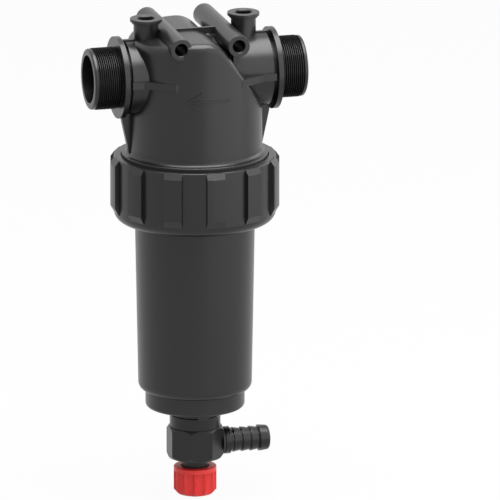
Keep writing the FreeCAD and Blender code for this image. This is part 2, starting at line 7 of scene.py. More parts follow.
import logging
import math
from dataclasses import dataclass, field
from enum import Enum
from typing import Callable

import bpy
from mathutils import Matrix, Vector


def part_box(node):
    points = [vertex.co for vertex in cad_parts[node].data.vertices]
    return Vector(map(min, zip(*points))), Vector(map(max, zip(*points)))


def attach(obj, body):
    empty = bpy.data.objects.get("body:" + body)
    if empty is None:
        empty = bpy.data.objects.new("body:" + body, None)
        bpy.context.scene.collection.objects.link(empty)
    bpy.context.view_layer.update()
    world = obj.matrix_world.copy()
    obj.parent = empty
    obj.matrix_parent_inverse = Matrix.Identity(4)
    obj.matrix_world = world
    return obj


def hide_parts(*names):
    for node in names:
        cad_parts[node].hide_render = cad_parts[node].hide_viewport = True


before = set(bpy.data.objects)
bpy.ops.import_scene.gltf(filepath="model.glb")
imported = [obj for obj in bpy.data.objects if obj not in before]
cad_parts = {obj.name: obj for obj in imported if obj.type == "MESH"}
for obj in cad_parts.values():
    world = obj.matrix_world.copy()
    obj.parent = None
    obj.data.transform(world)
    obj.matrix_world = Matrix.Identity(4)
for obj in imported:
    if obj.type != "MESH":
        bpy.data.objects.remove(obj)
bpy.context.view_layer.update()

log = logging.getLogger("filter")

MM = 0.001
FULL_TURN = 2 * math.pi
MERGE_DISTANCE = 0.002 * MM

Colour = tuple[float, float, float]
Settings = dict[str, object]
Inputs = dict[str | int, object]


class Axis(Enum):
    """The direction that a thread's axis points in, as the turn that carries +Z there."""

    UP = (0.0, 0.0, 0.0)
    RIGHT = (0.0, math.pi / 2, 0.0)
    LEFT = (0.0, -math.pi / 2, 0.0)


class Wall(Enum):
    """Which way a thread's ridge stands up from the wall that carries it."""

    OUTSIDE = 1
    INSIDE = -1


class Value:
    """One number output of a node, which takes part in sums as a plain number does."""

    def __init__(self, graph: "Graph", socket: bpy.types.NodeSocket) -> None:
        """Keeps the graph and the output socket.

        Args:
            graph: The node tree that the socket belongs to.
            socket: The output whose number this stands for.
        """
        self.graph = graph
        self.socket = socket

    def _math(self, operation: str, *terms: "Value | float") -> "Value":
        """Adds one Math node.

        Args:
            operation: The Math node's operation.
            terms: Its inputs in order.

        Returns:
            The node's result.
        """
        inputs = {index: term for index, term in enumerate(terms)}
        return self.graph.value("ShaderNodeMath", {"operation": operation}, inputs)

    def __add__(self, other: "Value | float") -> "Value":
        """The sum."""
        return self._math("ADD", self, other)

    def __radd__(self, other: float) -> "Value":
        """The sum with a plain number on the left."""
        return self._math("ADD", other, self)

    def __sub__(self, other: "Value | float") -> "Value":
        """The difference."""
        return self._math("SUBTRACT", self, other)

    def __rsub__(self, other: float) -> "Value":
        """The difference from a plain number."""
        return self._math("SUBTRACT", other, self)

    def __mul__(self, other: "Value | float") -> "Value":
        """The product."""
        return self._math("MULTIPLY", self, other)

    def __rmul__(self, other: float) -> "Value":
        """The product with a plain number on the left."""
        return self._math("MULTIPLY", other, self)

    def __truediv__(self, other: "Value | float") -> "Value":
        """The quotient."""
        return self._math("DIVIDE", self, other)

    def abs(self) -> "Value":
        """The size without the sign."""
        return self._math("ABSOLUTE", self)

    def fraction(self) -> "Value":
        """What is left over the next whole number below."""
        return self._math("FRACT", self)

    def above(self, limit: "Value | float") -> "Value":
        """1 where the value is above the limit, and 0 elsewhere."""
        return self._math("GREATER_THAN", self, limit)

    def larger(self, other: "Value | float") -> "Value":
        """The larger of the two."""
        return self._math("MAXIMUM", self, other)

    def angle_to(self, other: "Value") -> "Value":
        """The angle whose tangent is this value over the other."""
        return self._math("ARCTAN2", self, other)


class Graph:
    """The node tree of one material or world."""

    def __init__(self, tree: bpy.types.NodeTree) -> None:
        """Empties the tree.

        Args:
            tree: The node tree to fill.
        """
        self.tree = tree
        self.tree.nodes.clear()

    def node(self, kind: str, settings: Settings | None = None,
             inputs: Inputs | None = None) -> bpy.types.Node:
        """Adds a node, sets its options and then its sockets.

        Args:
            kind: The node's type.
            settings: Its options, by name.
            inputs: Numbers, colours, values or output sockets, by the input's name or number.

        Returns:
            The new node.
        """
        node = self.tree.nodes.new(kind)
        for name, setting in (settings or {}).items():
            setattr(node, name, setting)
        for name, given in (inputs or {}).items():
            source = given.socket if isinstance(given, Value) else given
            if isinstance(source, bpy.types.NodeSocket):
                self.tree.links.new(source, node.inputs[name])
            else:
                node.inputs[name].default_value = source
        return node

    def value(self, kind: str, settings: Settings | None = None, inputs: Inputs | None = None,
              output: str | int = 0) -> Value:
        """Adds a node and gives one of its outputs as a value.

        Args:
            kind: The node's type.
            settings: Its options.
            inputs: Its inputs.
            output: The output's name or number.

        Returns:
            That output.
        """
        return Value(self, self.node(kind, settings, inputs).outputs[output])

    def place(self) -> bpy.types.NodeSocket:
        """The point on the piece, in the piece's own frame."""
        return self.node("ShaderNodeTexCoord").outputs["Object"]

    def coordinates(self) -> tuple[Value, Value, Value]:
        """The three numbers of the point on the piece."""
        split = self.node("ShaderNodeSeparateXYZ", {}, {"Vector": self.place()})
        return tuple(Value(self, split.outputs[index]) for index in range(3))

    def noise(self, size: float, detail: float = 2.0, roughness: float = 0.5) -> Value:
        """A cloudy pattern.

        Args:
            size: The size of one cloud in metres.
            detail: How many finer patterns lie over it.
            roughness: How strong the finer ones are.

        Returns:
            The pattern, about 0.5 at its middle.
        """
        inputs = {"Vector": self.place(), "Scale": 1 / size, "Detail": detail, "Roughness": roughness}
        return self.value("ShaderNodeTexNoise", {}, inputs, "Fac")

    def bump(self, height: Value, depth: float,
             under: bpy.types.NodeSocket | None = None) -> bpy.types.NodeSocket:
        """Turns a height pattern into a bent normal.

        Args:
            height: The pattern, from 0 to 1.
            depth: How deep the pattern is in metres.
            under: The normal that it bends, if not the surface's own.

        Returns:
            The normal.
        """
        inputs = {"Strength": 1.0, "Distance": depth, "Height": height}
        if under is not None:
            inputs["Normal"] = under
        return self.node("ShaderNodeBump", {}, inputs).outputs["Normal"]

    def tint(self, mask: Value, low: Colour, high: Colour) -> bpy.types.NodeSocket:
        """Mixes two colours.

        Args:
            mask: 0 for the low colour and 1 for the high one.
            low: The colour at 0.
            high: The colour at 1.

        Returns:
            The mixed colour.
        """
        inputs = {"Factor": mask, "A": (*low, 1), "B": (*high, 1)}
        return self.node("ShaderNodeMix", {"data_type": "RGBA"}, inputs).outputs["Result"]


def scaled(colour: Colour, share: float) -> Colour:
    """A colour made darker or lighter by a share."""
    return tuple(min(1.0, channel * share) for channel in colour)


@dataclass(frozen=True)
class MouldedPlastic:
    """A moulded plastic with a fine eroded grain, faint flow clouds and softened corners."""

    name: str
    colour: Colour
    roughness: float = 0.32
    cloud: float = 0.10
    cloud_size: float = 22 * MM
    cloud_share: float = 0.7
    cloud_dulling: float = 0.05
    speck_size: float = 1.4 * MM
    speck_dulling: float = 0.03
    grain_size: float = 0.45 * MM
    grain_depth: float = 0.010 * MM
    corner_radius: float = 0.12 * MM
    refraction: float = 1.5

    def material(self) -> bpy.types.Material:
        """The finish as a material.

        Returns:
            A new material.
        """
        material = bpy.data.materials.new(self.name)
        material.use_nodes = True
        graph = Graph(material.node_tree)
        clouds = graph.noise(self.cloud_size, detail=3.0)
        grain = graph.noise(self.grain_size, detail=1.0)
        specks = graph.noise(self.speck_size, detail=2.0)
        shade = clouds * self.cloud_share + specks * (1 - self.cloud_share)
        dark, light = scaled(self.colour, 1 - self.cloud), scaled(self.colour, 1 + self.cloud)
        colour = graph.tint(shade, dark, light)
        smoothest = self.roughness - (self.cloud_dulling + self.speck_dulling) / 2
        roughness = smoothest + clouds * self.cloud_dulling + specks * self.speck_dulling
        rounded = graph.node("ShaderNodeBevel", {"samples": 4}, {"Radius": self.corner_radius})
        normal = graph.bump(grain, self.grain_depth, rounded.outputs["Normal"])
        inputs = {"Base Color": colour, "Roughness": roughness, "Normal": normal, "IOR": self.refraction}
        surface = graph.node("ShaderNodeBsdfPrincipled", {}, inputs)
        graph.node("ShaderNodeOutputMaterial", {}, {"Surface": surface.outputs["BSDF"]})
        return material


@dataclass(frozen=True)
class SoftRubber:
    """Matt rubber for seals and washers."""

    name: str
    colour: Colour
    roughness: float = 0.62
    bloom_size: float = 6 * MM
    bloom_lightening: float = 1.6
    bloom_dulling: float = 0.2
    grain_size: float = 0.3 * MM
    grain_depth: float = 0.012 * MM

    def material(self) -> bpy.types.Material:
        """The finish as a material.

        Returns:
            A new material.
        """
        material = bpy.data.materials.new(self.name)
        material.use_nodes = True
        graph = Graph(material.node_tree)
        bloom = graph.noise(self.bloom_size, detail=4.0, roughness=0.6)
        grain = graph.noise(self.grain_size, detail=1.0)
        inputs = {
            "Base Color": graph.tint(bloom, self.colour, scaled(self.colour, self.bloom_lightening)),
            "Roughness": self.roughness + (bloom - 0.5) * self.bloom_dulling,
            "Normal": graph.bump(grain, self.grain_depth),
        }
        surface = graph.node("ShaderNodeBsdfPrincipled", {}, inputs)
        graph.node("ShaderNodeOutputMaterial", {}, {"Surface": surface.outputs["BSDF"]})
        return material


@dataclass(frozen=True)
class WovenSteel:
    """A sleeve of plain woven stainless wire, open between its wires."""

    name: str
    sleeve_radius: float
    wire_pitch: float = 0.55 * MM
    open_share: float = 0.42
    relief: float = 0.08 * MM
    colour: Colour = (0.60, 0.60, 0.58)
    roughness: float = 0.26
    stain_size: float = 9 * MM
    stain_darkening: float = 0.8
    stain_dulling: float = 0.14

    def material(self) -> bpy.types.Material:
        """The finish as a material.

        Returns:
            A new material.
        """
        material = bpy.data.materials.new(self.name)
        material.use_nodes = True
        graph = Graph(material.node_tree)
        x, y, z = graph.coordinates()
        wires_round = round(FULL_TURN * self.sleeve_radius / self.wire_pitch)
        across = y.angle_to(x) * (wires_round / FULL_TURN)
        along = z / self.wire_pitch
        standing = self._wire(across)
        lying = self._wire(along)
        wire = standing.larger(lying)
        stain = graph.noise(self.stain_size, detail=3.0)
        inputs = {
            "Base Color": graph.tint(stain, scaled(self.colour, self.stain_darkening), self.colour),
            "Metallic": 1.0,
            "Roughness": self.roughness + stain * self.stain_dulling,
            "Alpha": wire.above(self.open_share),
            "Normal": graph.bump(wire, self.relief),
        }
        surface = graph.node("ShaderNodeBsdfPrincipled", {}, inputs)
        graph.node("ShaderNodeOutputMaterial", {}, {"Surface": surface.outputs["BSDF"]})
        return material

    def _wire(self, count: Value) -> Value:
        """The height of one set of wires.

        Args:
            count: How many wires have been passed.

        Returns:
            1 along the middle of each wire and 0 half way between two.
        """
        return 1.0 - 2.0 * (count.fraction() - 0.5).abs()


class Finishes:
    """All the materials of the filter, made once and shared."""

    def __init__(self) -> None:
        """Makes each material."""
        mesh_low, mesh_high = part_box("cartridge_mesh")
        sleeve = (mesh_high.x - mesh_low.x) / 2
        finishes = {
            "black_housing": MouldedPlastic("black_housing_plastic", (0.0070, 0.0070, 0.0073),
                                            refraction=1.46),
            "black_nut": MouldedPlastic("black_nut_plastic", (0.0065, 0.0065, 0.0067), 0.31,
                                        refraction=1.45),
            "black_fitting": MouldedPlastic("black_fitting_plastic", (0.0040, 0.0040, 0.0041), 0.30,
                                            refraction=1.43),
            # Painted shade: the threads wear a darker, rougher, less reflective copy of the black
            # plastic. It stands in for the shade deep in their grooves.
            "thread_painted_shade": MouldedPlastic("thread_plastic_painted_shade", (0.0040, 0.0040, 0.0041), 0.55,
                                           refraction=1.15),
            "red_plastic": MouldedPlastic("red_knob_plastic", (0.70, 0.028, 0.024), 0.40, cloud=0.06,
                                          refraction=1.45),
            "cartridge_plastic": MouldedPlastic("blue_cartridge_plastic", (0.025, 0.085, 0.33), 0.40),
            "pale_plastic": MouldedPlastic("pale_valve_plastic", (0.72, 0.70, 0.65), 0.40, cloud=0.04),
            "rubber": SoftRubber("black_seal_rubber", (0.012, 0.012, 0.012)),
            "steel_mesh": WovenSteel("woven_steel_sleeve", sleeve),
        }
        self._materials = {slot: finish.material() for slot, finish in finishes.items()}

    def dress_node(self, name: str, slot: str) -> None:
        """Gives a CAD node its finish.

        Args:
            name: The node's name.
            slot: The name of the finish that goes into all its material slots.
        """
        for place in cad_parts[name].material_slots:
            place.material = self._materials[slot]
        log.info("dressed %s in %s", name, slot)

    def dress_piece(self, piece: bpy.types.Object, slot: str, body: str,
                    finish: str | None = None) -> None:
        """Gives a new piece its finish and lets it ride on a body.

        Args:
            piece: The finished piece.
            slot: The name of the finish that it wears, where no other finish is given.
            body: The body that carries it.
            finish: The finish's own name, where it isn't the slot's.
        """
        piece.data.materials.clear()
        piece.data.materials.append(self._materials[finish or slot])
        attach(piece, body)
        log.info("made %s with %d faces on %s", piece.name, len(piece.data.polygons), body)


def activate(piece: bpy.types.Object) -> None:
    """Selects one object alone and makes it the active one."""
    bpy.ops.object.select_all(action="DESELECT")
    piece.select_set(True)
    bpy.context.view_layer.objects.active = piece


def named(name: str) -> bpy.types.Object:
    """Names the primitive that was just added and gives it."""
    piece = bpy.context.object
    piece.name = name
    piece.data.name = name
    return piece


def select_points(piece: bpy.types.Object, wanted: Callable[[Vector], bool]) -> None:
    """Enters edit mode with the points that pass a test selected.

    Args:
        piece: The piece, in object mode.
        wanted: The test of a point's place.
    """
    activate(piece)
    mesh = piece.data
    for group in (mesh.polygons, mesh.edges):
        group.foreach_set("select", [False] * len(group))
    mesh.vertices.foreach_set("select", [wanted(point.co) for point in mesh.vertices])
    bpy.ops.object.mode_set(mode="EDIT")
    bpy.ops.mesh.select_mode(type="VERT")


def select_faces(piece: bpy.types.Object, wanted: Callable[[bpy.types.MeshPolygon], bool]) -> None:
    """Enters edit mode with the faces that pass a test selected.

    Args:
        piece: The piece, in object mode.
        wanted: The test of a face.
    """
    activate(piece)
    mesh = piece.data
    chosen = [wanted(face) for face in mesh.polygons]
    for group in (mesh.vertices, mesh.edges):
        group.foreach_set("select", [False] * len(group))
    bpy.ops.object.mode_set(mode="EDIT")
    bpy.ops.mesh.select_mode(type="FACE")
    bpy.ops.mesh.select_all(action="DESELECT")
    bpy.ops.object.mode_set(mode="OBJECT")
    mesh.polygons.foreach_set("select", chosen)
    bpy.ops.object.mode_set(mode="EDIT")


def leave_edit() -> None:
    """Goes back to object mode."""
    bpy.ops.object.mode_set(mode="OBJECT")


def add_modifier(piece: bpy.types.Object, kind: str, **settings: object) -> None:
    """Adds a modifier with its settings and applies it.

    Args:
        piece: The piece.
        kind: The modifier's type.
        settings: The modifier's settings.
    """
    activate(piece)
    bpy.ops.object.modifier_add(type=kind)
    modifier = piece.modifiers[-1]
    for name, setting in settings.items():
        setattr(modifier, name, setting)
    bpy.ops.object.modifier_apply(modifier=modifier.name)


def combine(piece: bpy.types.Object, other: bpy.types.Object, operation: str) -> None:
    """Joins a piece with another closed one, or cuts it by it, and removes the other.

    Args:
        piece: The piece that stays.
        other: The piece that is used up.
        operation: UNION, DIFFERENCE or INTERSECT.
    """
    add_modifier(piece, "BOOLEAN", operation=operation, solver="MANIFOLD", object=other)
    bpy.data.objects.remove(other)


def add_cylinder(name: str, radius: float, low: float, high: float,
                 sides: int) -> bpy.types.Object:
    """Adds an upright cylinder about the Z axis.

    Args:
        name: Its name.
        radius: Its radius.
        low: The height of its foot.
        high: The height of its top.
        sides: The number of its sides.

    Returns:
        The cylinder.
    """
    bpy.ops.object.select_all(action="DESELECT")
    bpy.ops.mesh.primitive_cylinder_add(vertices=sides, radius=radius, depth=high - low,
                                        location=(0, 0, (low + high) / 2))
    cylinder = named(name)
    settle(cylinder, shift=cylinder.location.copy())
    return cylinder


def add_outline(name: str, low: tuple[float, float], high: tuple[float, float]) -> bpy.types.Object:
    """Adds an upright rectangle in the XZ plane.

    Args:
        name: Its name.
        low: The X and Z of its lower left corner.
        high: The X and Z of its upper right corner.

    Returns:
        The rectangle.
    """
    middle = ((low[0] + high[0]) / 2, 0, (low[1] + high[1]) / 2)
    bpy.ops.object.select_all(action="DESELECT")
    bpy.ops.mesh.primitive_plane_add(size=1, rotation=(math.pi / 2, 0, 0), location=middle)
    outline = named(name)
    outline.scale = (high[0] - low[0], high[1] - low[1], 1)
    bpy.ops.object.transform_apply(location=True, rotation=True, scale=True)
    return outline


def keep_edges() -> None:
    """Leaves edit mode with the outline's face removed, so that only its edges are spun."""
    bpy.ops.mesh.select_all(action="SELECT")
    bpy.ops.mesh.delete(type="ONLY_FACE")
    leave_edit()


def settle(piece: bpy.types.Object, turn: tuple[float, float, float] = (0.0, 0.0, 0.0),
           shift: Vector | None = None) -> None:
    """Turns and moves a piece and puts its place into its mesh.

    Args:
        piece: The piece.
        turn: Its turn about the three axes.
        shift: Where its own origin goes.
    """
    activate(piece)
    piece.rotation_euler = turn
    piece.location = shift or Vector()
    bpy.ops.object.transform_apply(location=True, rotation=True, scale=True)


def close_shell(piece: bpy.types.Object, smooth_angle: float = math.radians(35)) -> None:
    """Closes the open ends, turns all faces outwards and shades it smooth up to an angle.

    Args:
        piece: The piece.
        smooth_angle: The angle between faces above which an edge stays sharp.
    """
    activate(piece)
    bpy.ops.object.mode_set(mode="EDIT")
    bpy.ops.mesh.select_mode(type="VERT")
    bpy.ops.mesh.select_all(action="SELECT")
    bpy.ops.mesh.remove_doubles(threshold=MERGE_DISTANCE)
    bpy.ops.mesh.select_all(action="DESELECT")
    bpy.ops.mesh.select_non_manifold()
    bpy.ops.mesh.fill_holes(sides=0)
    bpy.ops.mesh.select_all(action="SELECT")
    bpy.ops.mesh.normals_make_consistent(inside=False)
    leave_edit()
    bpy.ops.object.shade_smooth_by_angle(angle=smooth_angle)


@dataclass(frozen=True)
class RidgeForm:
    """A ridge's cross-section.

    Its two widths are shares of the pitch, and the rounding of its crest is a share of its height.
    """

    root_share: float
    crest_share: float
    crest_round: float


PORT_RIDGE = RidgeForm(root_share=0.80, crest_share=0.30, crest_round=0.10)
GAUGE_RIDGE = RidgeForm(root_share=0.90, crest_share=0.26, crest_round=0.16)
NUT_RIDGE = RidgeForm(root_share=0.44, crest_share=0.26, crest_round=0.20)


@dataclass
class Thread:
    """A helical ridge on a wall that is round about its axis, cut off at each end, by a chamfer where it
    stands on an outside wall.
    """

    name: str
    root_radius: float
    crest_radius: float
    pitch: float
    start: float
    end: float
    form: RidgeForm
    axis: Axis
    origin: Vector
    wall: Wall = Wall.OUTSIDE
    sunk: float = 0.12 * MM
    steps: int = 96
    smooth_angle: float = math.radians(40)

    def build(self) -> bpy.types.Object:
        """Models the ridge.

        Returns:
            The ridge, in its place.
        """
        ridge = self._profile()
        self._wind(ridge)
        self._trim(ridge)
        settle(ridge, self.axis.value, self.origin)
        bpy.ops.object.shade_smooth_by_angle(angle=self.smooth_angle)
        return ridge

    def _profile(self) -> bpy.types.Object:
        """The ridge's cross-section, one pitch below its start.

        Returns:
            A flat piece in the XZ plane.
        """
        foot = self.root_radius - self.wall.value * self.sunk
        near, far = sorted((foot, self.crest_radius))
        low = self.start - self.pitch
        half = self.pitch * self.form.root_share / 2
        ridge = add_outline(self.name, (near, low - half), (far, low + half))
        middle = (near + far) / 2
        select_points(ridge, lambda point: (point.x - middle) * self.wall.value > 0)
        bpy.ops.transform.resize(value=(1, 1, self.form.crest_share / self.form.root_share))
        bpy.ops.mesh.bevel(affect="VERTICES", offset=self.form.crest_round * (far - near), segments=2)
        keep_edges()
        return ridge

    def _wind(self, ridge: bpy.types.Object) -> None:
        """Winds the cross-section round the axis, from a pitch below the start to a pitch past the end.

        Args:
            ridge: The cross-section.
        """
        turns = math.ceil((self.end - self.start) / self.pitch) + 2
        add_modifier(ridge, "SCREW", axis="Z", angle=FULL_TURN, screw_offset=self.pitch, iterations=turns,
                     steps=self.steps, render_steps=self.steps)
        close_shell(ridge)

    def _trim(self, ridge: bpy.types.Object) -> None:
        """Cuts the ridge off at its two ends, with a chamfer where it stands on an outside wall.

        Args:
            ridge: The wound ridge.
        """
        depth = abs(self.crest_radius - self.root_radius) + 2 * self.sunk
        reach = max(self.crest_radius, self.root_radius) + 2 * self.sunk
        envelope = add_cylinder(f"{self.name}_envelope", reach, self.start, self.end, self.steps)
        if self.wall is Wall.OUTSIDE:
            select_faces(envelope, lambda face: abs(face.normal.z) > 0.5)
            bpy.ops.mesh.bevel(offset=depth, segments=1)
            leave_edit()
        combine(ridge, envelope, "INTERSECT")


@dataclass
class Band:
    """A round band about an axis, with its outer far edge rounded off."""

    name: str
    inner_radius: float
    outer_radius: float
    start: float
    end: float
    edge: float
    axis: Axis
    origin: Vector
    steps: int = 128

    def build(self) -> bpy.types.Object:
        """Models the band.

        Returns:
            The band, in its place.
        """
        band = add_outline(self.name, (self.inner_radius, self.start), (self.outer_radius, self.end))
        middle = (self.inner_radius + self.outer_radius) / 2
        height = (self.start + self.end) / 2
        select_points(band, lambda point: point.x > middle and point.z > height)
        bpy.ops.mesh.bevel(affect="VERTICES", offset=self.edge, segments=5)
        keep_edges()
        add_modifier(band, "SCREW", axis="Z", angle=FULL_TURN, screw_offset=0, iterations=1,
                     steps=self.steps, render_steps=self.steps, use_merge_vertices=True)
        close_shell(band)
        settle(band, self.axis.value, self.origin)
        return band


@dataclass
class FlowArrow:
    """A plain open arrow in raised strokes on the chamber's front, which points at the outlet."""

    tip_x: float
    tail_x: float
    height: float
    wall_radius: float = 51.73 * MM
    head_length: float = 11.2 * MM
    head_half: float = 6.85 * MM
    stroke: float = 1.2 * MM
    rise: float = 0.75 * MM
    sunk: float = 0.3 * MM
    edge: float = 0.14 * MM
    bar_distance: float = 0.9
    bar_depth: float = 0.5
    corner_angle: float = math.radians(50)
    sides: int = 360

    def build(self) -> bpy.types.Object:
        """Models the strokes as bars that stand in the chamber's front and keeps what lies near its wall.

        Returns:
            The arrow.
        """
        middle = (self.tip_x + self.tail_x) / 2
        arrow = self._bar("flow_arrow", self.tail_x - self.tip_x, middle, self.height, 0)
        leg = math.hypot(self.head_length, self.head_half)
        slope = math.atan2(self.head_half, self.head_length)
        for side in (1, -1):
            leg_x = self.tip_x + self.head_length / 2
            leg_z = self.height + side * self.head_half / 2
            bar = self._bar("arrow_leg", leg, leg_x, leg_z, -side * slope)
            combine(arrow, bar, "UNION")
        combine(arrow, self._shell(), "INTERSECT")
        add_modifier(arrow, "BEVEL", width=self.edge, segments=2, limit_method="ANGLE",
                     angle_limit=self.corner_angle)
        close_shell(arrow)
        return arrow

    def _bar(self, name: str, length: float, x: float, z: float, turn: float) -> bpy.types.Object:
        """Models one stroke as a bar that reaches from outside the chamber into it.

        Args:
            name: The bar's name.
            length: The stroke's length.
            x: Its middle across.
            z: Its middle's height.
            turn: Its turn about the Y axis.

        Returns:
            The bar.
        """
        middle = (x, -self.wall_radius * self.bar_distance, z)
        bpy.ops.object.select_all(action="DESELECT")
        bpy.ops.mesh.primitive_cube_add(size=1, rotation=(0, turn, 0), location=middle)
        bar = named(name)
        bar.scale = (length, self.wall_radius * self.bar_depth, self.stroke)
        bpy.ops.object.transform_apply(location=True, rotation=True, scale=True)
        return bar

    def _shell(self) -> bpy.types.Object:
        """The thin round layer that the strokes fill.

        Returns:
            A tube about the Z axis.
        """
        low, high = self.height - self.head_length, self.height + self.head_length
        shell = add_cylinder("arrow_shell", self.wall_radius + self.rise, low, high, self.sides)
        core = add_cylinder("arrow_core", self.wall_radius - self.sunk, low - MM, high + MM, self.sides)
        combine(shell, core, "DIFFERENCE")
        return shell


@dataclass
class Head:
    """The filter head: its ports' threads and noses, the skirt's thread and the flow arrow."""

    finishes: Finishes
    body: str = "head"
    port_root: float = 22.42 * MM
    port_crest: float = 23.9 * MM
    port_pitch: float = 1.6 * MM
    port_start: float = 62.7 * MM
    port_end: float = 82.0 * MM
    nose_inner: float = 21.0 * MM
    nose_outer: float = 23.5 * MM
    nose_start: float = 81.7 * MM
    nose_end: float = 84.45 * MM
    nose_edge: float = 1.4 * MM
    gauge_root: float = 6.58 * MM
    gauge_crest: float = 5.72 * MM
    gauge_pitch: float = 1.337 * MM
    gauge_x: float = 38.6 * MM
    gauge_top_gap: float = 0.7 * MM
    gauge_depth: float = 11.8 * MM
    skirt_root: float = 55.0 * MM
    skirt_crest: float = 56.55 * MM
    skirt_top: float = -66.5 * MM
    skirt_foot: float = -101.5 * MM
    top_over_axis: float = 45.4 * MM
    arrow_tip: float = -19.0 * MM
    arrow_tail: float = 15.4 * MM
    arrow_drop: float = 11.0 * MM
    top: float = field(init=False)
    axis_height: float = field(init=False)

    def __post_init__(self) -> None:
        """Works out the height of the port axis from the head's own box."""
        self.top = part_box("head")[1].z
        self.axis_height = self.top - self.top_over_axis

    def build(self) -> None:
        """Models and dresses every piece of the head."""
        self.finishes.dress_node("head", "black_housing")
        for thread in self._threads():
            # The head's threads wear the darker copy of the housing plastic, painted shade for their
            # grooves.
            self.finishes.dress_piece(thread.build(), "black_housing", self.body, "thread_painted_shade")
        for nose in self._noses():
            self.finishes.dress_piece(nose.build(), "black_housing", self.body)
        arrow = FlowArrow(self.arrow_tip, self.arrow_tail, self.axis_height - self.arrow_drop)
        self.finishes.dress_piece(arrow.build(), "black_housing", self.body)

    def _noses(self) -> list[Band]:
        """The smooth rounded ends of the two ports."""
        ports = Vector((0, 0, self.axis_height))
        return [
            Band(name, self.nose_inner, self.nose_outer, self.nose_start, self.nose_end, self.nose_edge,
                 axis, ports)
            for name, axis in (("inlet_nose", Axis.RIGHT), ("outlet_nose", Axis.LEFT))
        ]

    def _threads(self) -> list[Thread]:
        """The head's five threads."""
        ports = Vector((0, 0, self.axis_height))
        threads = [
            Thread(name, self.port_root, self.port_crest, self.port_pitch, self.port_start, self.port_end,
                   PORT_RIDGE, axis, ports)
            for name, axis in (("inlet_thread", Axis.RIGHT), ("outlet_thread", Axis.LEFT))
        ]
        high = self.top - self.gauge_top_gap
        for name, side in (("inlet_gauge_thread", 1), ("outlet_gauge_thread", -1)):
            threads.append(Thread(name, self.gauge_root, self.gauge_crest, self.gauge_pitch,
                                  high - self.gauge_depth, high, GAUGE_RIDGE, Axis.UP,
                                  Vector((side * self.gauge_x, 0, 0)), Wall.INSIDE, steps=48))
        threads.append(Thread("skirt_thread", self.skirt_root, self.skirt_crest, RingNut.pitch,
                              self.axis_height + self.skirt_foot, self.axis_height + self.skirt_top,
                              NUT_RIDGE, Axis.UP, Vector()))
        return threads


@dataclass
class RingNut:
    """The ring nut and its inner thread, which runs between the turns of the skirt's thread."""

    finishes: Finishes
    body: str = "ring_nut"
    pitch: float = 6.0 * MM
    root: float = 57.0 * MM
    crest: float = 55.5 * MM
    foot_gap: float = 11.5 * MM
    top_gap: float = 3.0 * MM

    def build(self) -> None:
        """Models and dresses every piece of the ring nut."""
        self.finishes.dress_node("ring_nut", "black_nut")
        low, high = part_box("ring_nut")
        thread = Thread("ring_nut_thread", self.root, self.crest, self.pitch, low.z + self.foot_gap,
                        high.z - self.top_gap, NUT_RIDGE, Axis.UP, Vector(), Wall.INSIDE)
        # The nut's thread wears the darker copy of the plastic, painted shade for its grooves.
        self.finishes.dress_piece(thread.build(), "black_nut", self.body, "thread_painted_shade")


@dataclass
class Bowl:
    """The bowl with its drain body, hose tail and seals."""

    finishes: Finishes

    def build(self) -> None:
        """Dresses every piece of the bowl."""
        self.finishes.dress_node("bowl", "black_housing")
        for name in ("drain_body", "hose_tail"):
            self.finishes.dress_node(name, "black_fitting")
        for name in ("bowl_seal", "drain_washer", "hose_tail_washer"):
            self.finishes.dress_node(name, "rubber")


@dataclass
class Cartridge:
    """The filter cartridge, with its caps, cage, mesh sleeve and flow cone."""

    finishes: Finishes

    def build(self) -> None:
        """Dresses every piece of the cartridge."""
        for name in ("cartridge_top_cap", "cartridge_cage", "cartridge_bottom_cap"):
            self.finishes.dress_node(name, "cartridge_plastic")
        for name in ("cartridge_top_gasket", "cartridge_bottom_seal"):
            self.finishes.dress_node(name, "rubber")
        for name in ("flow_cone", "cone_spider"):
            self.finishes.dress_node(name, "pale_plastic")
        self.finishes.dress_node("cartridge_mesh", "steel_mesh")


@dataclass
class KnobGrip:
    """The drain knob: a round cap with a smooth rim and hollow flutes, open at the top."""

    radius: float = 16.5 * MM
    foot: float = 1.9 * MM
    foot_chamfer: float = 2.8 * MM
    top_round: float = 0.7 * MM
    rim: float = 3.4 * MM
    flutes: int = 12
    flute_radius: float = 4.7 * MM
    flute_floor: float = 14.0 * MM
    mouth_radius: float = 11.0 * MM
    floor_height: float = 9.9 * MM
    stem_radius: float = 3.4 * MM
    smooth_angle: float = math.radians(30)
    sides: int = 180

    def build(self) -> bpy.types.Object:
        """Models the knob.

        Returns:
            The knob, closed and in its place.
        """
        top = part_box("drain_knob")[1].z
        grip = add_cylinder("knob_grip", self.radius, self.foot, top, self.sides)
        select_faces(grip, lambda face: face.normal.z < -0.5)
        bpy.ops.mesh.bevel(offset=self.foot_chamfer, segments=1)
        leave_edit()
        select_faces(grip, lambda face: face.normal.z > 0.9)
        bpy.ops.mesh.bevel(offset=self.top_round, segments=4)
        leave_edit()
        for index in range(self.flutes):
            combine(grip, self._flute(index, top - self.rim), "DIFFERENCE")
        holes = (("mouth", self.mouth_radius, self.floor_height), ("stem", self.stem_radius, 0))
        for name, radius, low in holes:
            combine(grip, add_cylinder(name, radius, low, top + MM, self.sides // 2), "DIFFERENCE")
        close_shell(grip, self.smooth_angle)
        return grip

    def _flute(self, index: int, high: float) -> bpy.types.Object:
        """The round bar that cuts one flute.

        Args:
            index: Which flute, counted from the front.
            high: Where the flute ends below the rim.

        Returns:
            The bar.
        """
        bar = add_cylinder("flute", self.flute_radius, 0, high, self.sides // 2)
        angle = FULL_TURN * index / self.flutes
        away = self.flute_floor + self.flute_radius
        settle(bar, shift=Vector((math.sin(angle) * away, -math.cos(angle) * away, 0)))
        return bar


